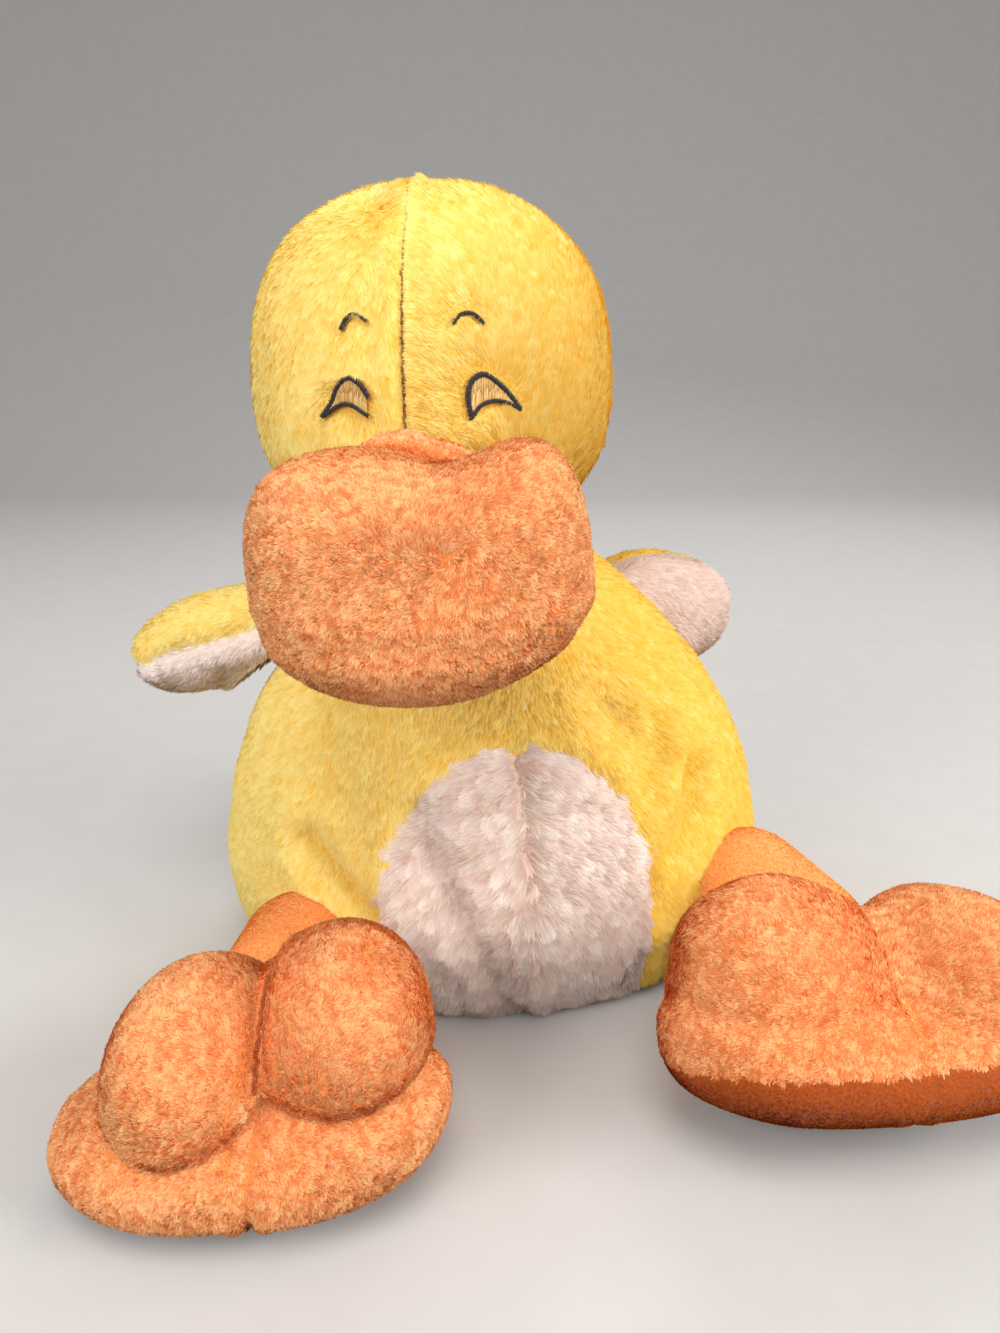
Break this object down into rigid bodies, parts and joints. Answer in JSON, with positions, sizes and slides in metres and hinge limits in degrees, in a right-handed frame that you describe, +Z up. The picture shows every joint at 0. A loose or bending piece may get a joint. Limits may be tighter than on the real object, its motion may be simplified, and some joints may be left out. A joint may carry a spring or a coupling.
{
  "type": "plush duck",
  "caption": "Sitting stuffed plush duck: round head with a padded bill, flapping wings, bean-filled pear body and splaying legs with two-lobed feet.",
  "frame": {"origin": "middle of the flat seat that the duck sits on", "axes": "+Z up, the duck faces -Y, and +X is the right of the picture"},
  "size_m": [0.3235, 0.2786, 0.289],
  "materials": {
    "yellow_plush": "matte",
    "white_plush": "matte",
    "orange_terry": "matte",
    "orange_cloth": "matte",
    "dark_thread": "satin",
    "stuffing_fibre": "matte",
    "bean_pouch": "matte"
  },
  "bodies": {
    "body": {"body_left": "yellow_plush", "body_right": "yellow_plush", "belly_left": "white_plush", "belly_right": "white_plush", "seat_panel": "white_plush", "bean_pouch": "bean_pouch", "body_stuffing": "stuffing_fibre", "tail": "yellow_plush"},
    "head": {"head_left": "yellow_plush", "head_right": "yellow_plush", "head_back": "yellow_plush", "head_stuffing": "stuffing_fibre", "bill_upper": "orange_terry", "bill_under": "orange_terry", "bill_stuffing": "stuffing_fibre", "bill_fold": "orange_cloth", "eye_left": "dark_thread", "eye_right": "dark_thread", "brow_left": "dark_thread", "brow_right": "dark_thread"},
    "wing_left": {"wing_left_top": "yellow_plush", "wing_left_underside": "white_plush"},
    "wing_right": {"wing_right_top": "yellow_plush", "wing_right_underside": "white_plush"},
    "leg_left": {"leg_left_cloth": "orange_cloth", "leg_left_stuffing": "stuffing_fibre"},
    "leg_right": {"leg_right_cloth": "orange_cloth", "leg_right_stuffing": "stuffing_fibre"},
    "foot_left": {"foot_left_top": "orange_terry", "foot_left_sole": "orange_cloth", "foot_left_stuffing": "stuffing_fibre"},
    "foot_right": {"foot_right_top": "orange_terry", "foot_right_sole": "orange_cloth", "foot_right_stuffing": "stuffing_fibre"}
  },
  "joints": [
    {"name": "head_nod", "type": "hinge", "parent": "body", "child": "head", "pos_m": [-0.013, 0, 0.146], "axis": [1, 0, 0], "range_deg": [-18, 8], "stiffness_Nm_per_rad": 3},
    {"name": "wing_left_flap", "type": "hinge", "parent": "body", "child": "wing_left", "pos_m": [-0.077, 0.01, 0.135], "axis": [0.1222, 0.9787, -0.1651], "range_deg": [-15, 35], "stiffness_Nm_per_rad": 0.08},
    {"name": "wing_right_flap", "type": "hinge", "parent": "body", "child": "wing_right", "pos_m": [0.047, 0.037, 0.129], "axis": [0.2212, 0.0039, 0.9752], "range_deg": [-20, 30], "stiffness_Nm_per_rad": 0.08},
    {"name": "hip_left_splay", "type": "hinge", "parent": "body", "child": "leg_left", "pos_m": [-0.072, -0.066, 0.027], "axis": [0, 0, 1], "range_deg": [-18, 15]},
    {"name": "hip_right_splay", "type": "hinge", "parent": "body", "child": "leg_right", "pos_m": [0.093, -0.046, 0.042], "axis": [0, 0, 1], "range_deg": [-15, 18]},
    {"name": "ankle_left_flex", "type": "hinge", "parent": "leg_left", "child": "foot_left", "pos_m": [-0.073, -0.096, 0.03], "axis": [-1, 0, 0], "range_deg": [0, 20], "stiffness_Nm_per_rad": 1},
    {"name": "ankle_right_flex", "type": "hinge", "parent": "leg_right", "child": "foot_right", "pos_m": [0.106, -0.078, 0.04], "axis": [-0.9903, -0.1392, 0], "range_deg": [-12, 12], "stiffness_Nm_per_rad": 1}
  ]
}
